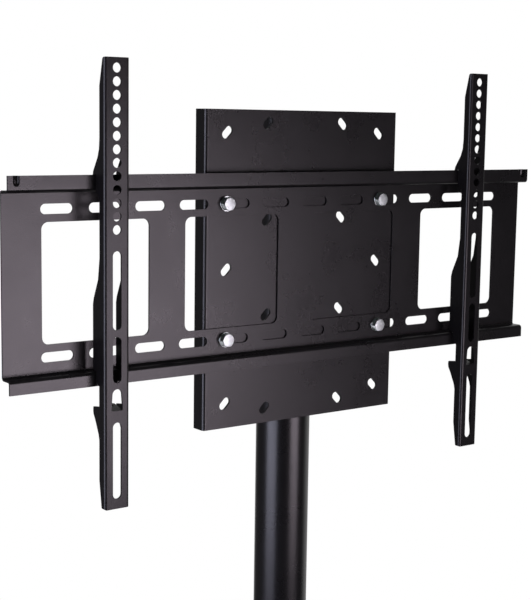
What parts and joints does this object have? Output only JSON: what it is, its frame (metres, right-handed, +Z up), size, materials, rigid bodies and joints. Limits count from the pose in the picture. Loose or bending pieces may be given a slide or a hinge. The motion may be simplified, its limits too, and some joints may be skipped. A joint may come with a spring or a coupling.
{
  "type": "television floor stand with mount",
  "caption": "Height-adjustable floor stand: flat base, telescoping round column, swivelling head plate and slotted rail plate with hook-on arms that slide to fit a television.",
  "frame": {"origin": "on the floor, under the middle of the rectangular base and of the whole stand's outline", "axes": "+Z up along the column, the television side faces -Y, +X to the right seen along +Y"},
  "size_m": [0.72, 0.48, 1.4602],
  "materials": {
    "black_powder_coat": "satin black powder coat, finely textured",
    "zinc_plate": "bright zinc plating",
    "black_plastic": "moulded, matte",
    "black_rubber": "moulded rubber"
  },
  "bodies": {
    "stand": {"base_plate": "black_powder_coat", "rubber_foot_front_left": "black_rubber", "rubber_foot_front_right": "black_rubber", "rubber_foot_rear_left": "black_rubber", "rubber_foot_rear_right": "black_rubber", "foot_screw_front_left": "zinc_plate", "foot_screw_front_right": "zinc_plate", "foot_screw_rear_left": "zinc_plate", "foot_screw_rear_right": "zinc_plate", "column_flange": "black_powder_coat", "flange_washer_1": "zinc_plate", "flange_washer_2": "zinc_plate", "flange_washer_3": "zinc_plate", "flange_washer_4": "zinc_plate", "flange_bolt_1": "zinc_plate", "flange_bolt_2": "zinc_plate", "flange_bolt_3": "zinc_plate", "flange_bolt_4": "zinc_plate", "lower_column": "black_powder_coat", "lower_cable_grommet": "black_plastic", "column_guide_bush": "black_plastic", "height_clamp_collar": "black_powder_coat", "height_clamp_bolt": "zinc_plate", "height_clamp_nut": "zinc_plate"},
    "pole": {"upper_pole": "black_powder_coat", "pole_slide_shoe": "black_plastic", "pole_cap": "black_plastic", "upper_cable_grommet": "black_plastic"},
    "head": {"head_plate": "black_powder_coat", "upper_pole_strap": "black_powder_coat", "lower_pole_strap": "black_powder_coat", "upper_strap_nut_left": "zinc_plate", "upper_strap_nut_right": "zinc_plate", "lower_strap_nut_left": "zinc_plate", "lower_strap_nut_right": "zinc_plate", "rail_plate": "black_powder_coat", "rail_washer_upper_left": "zinc_plate", "rail_washer_upper_right": "zinc_plate", "rail_washer_lower_left": "zinc_plate", "rail_washer_lower_right": "zinc_plate", "rail_bolt_upper_left": "zinc_plate", "rail_bolt_upper_right": "zinc_plate", "rail_bolt_lower_left": "zinc_plate", "rail_bolt_lower_right": "zinc_plate", "rail_nut_upper_left": "zinc_plate", "rail_nut_upper_right": "zinc_plate", "rail_nut_lower_left": "zinc_plate", "rail_nut_lower_right": "zinc_plate"},
    "left_arm": {"left_arm": "black_powder_coat"},
    "right_arm": {"right_arm": "black_powder_coat"}
  },
  "joints": [
    {"name": "height_slide", "type": "slide", "parent": "stand", "child": "pole", "axis": [0, 0, 1], "range_m": [-0.24, 0.16]},
    {"name": "head_swivel", "type": "hinge", "parent": "pole", "child": "head", "pos_m": [0, 0.06, 1.25], "axis": [0, 0, 1], "range_deg": [-90, 90]},
    {"name": "left_arm_slide", "type": "slide", "parent": "head", "child": "left_arm", "axis": [1, 0, 0], "range_m": [-0.075, 0.215]},
    {"name": "right_arm_slide", "type": "slide", "parent": "head", "child": "right_arm", "axis": [1, 0, 0], "range_m": [-0.215, 0.074]}
  ]
}
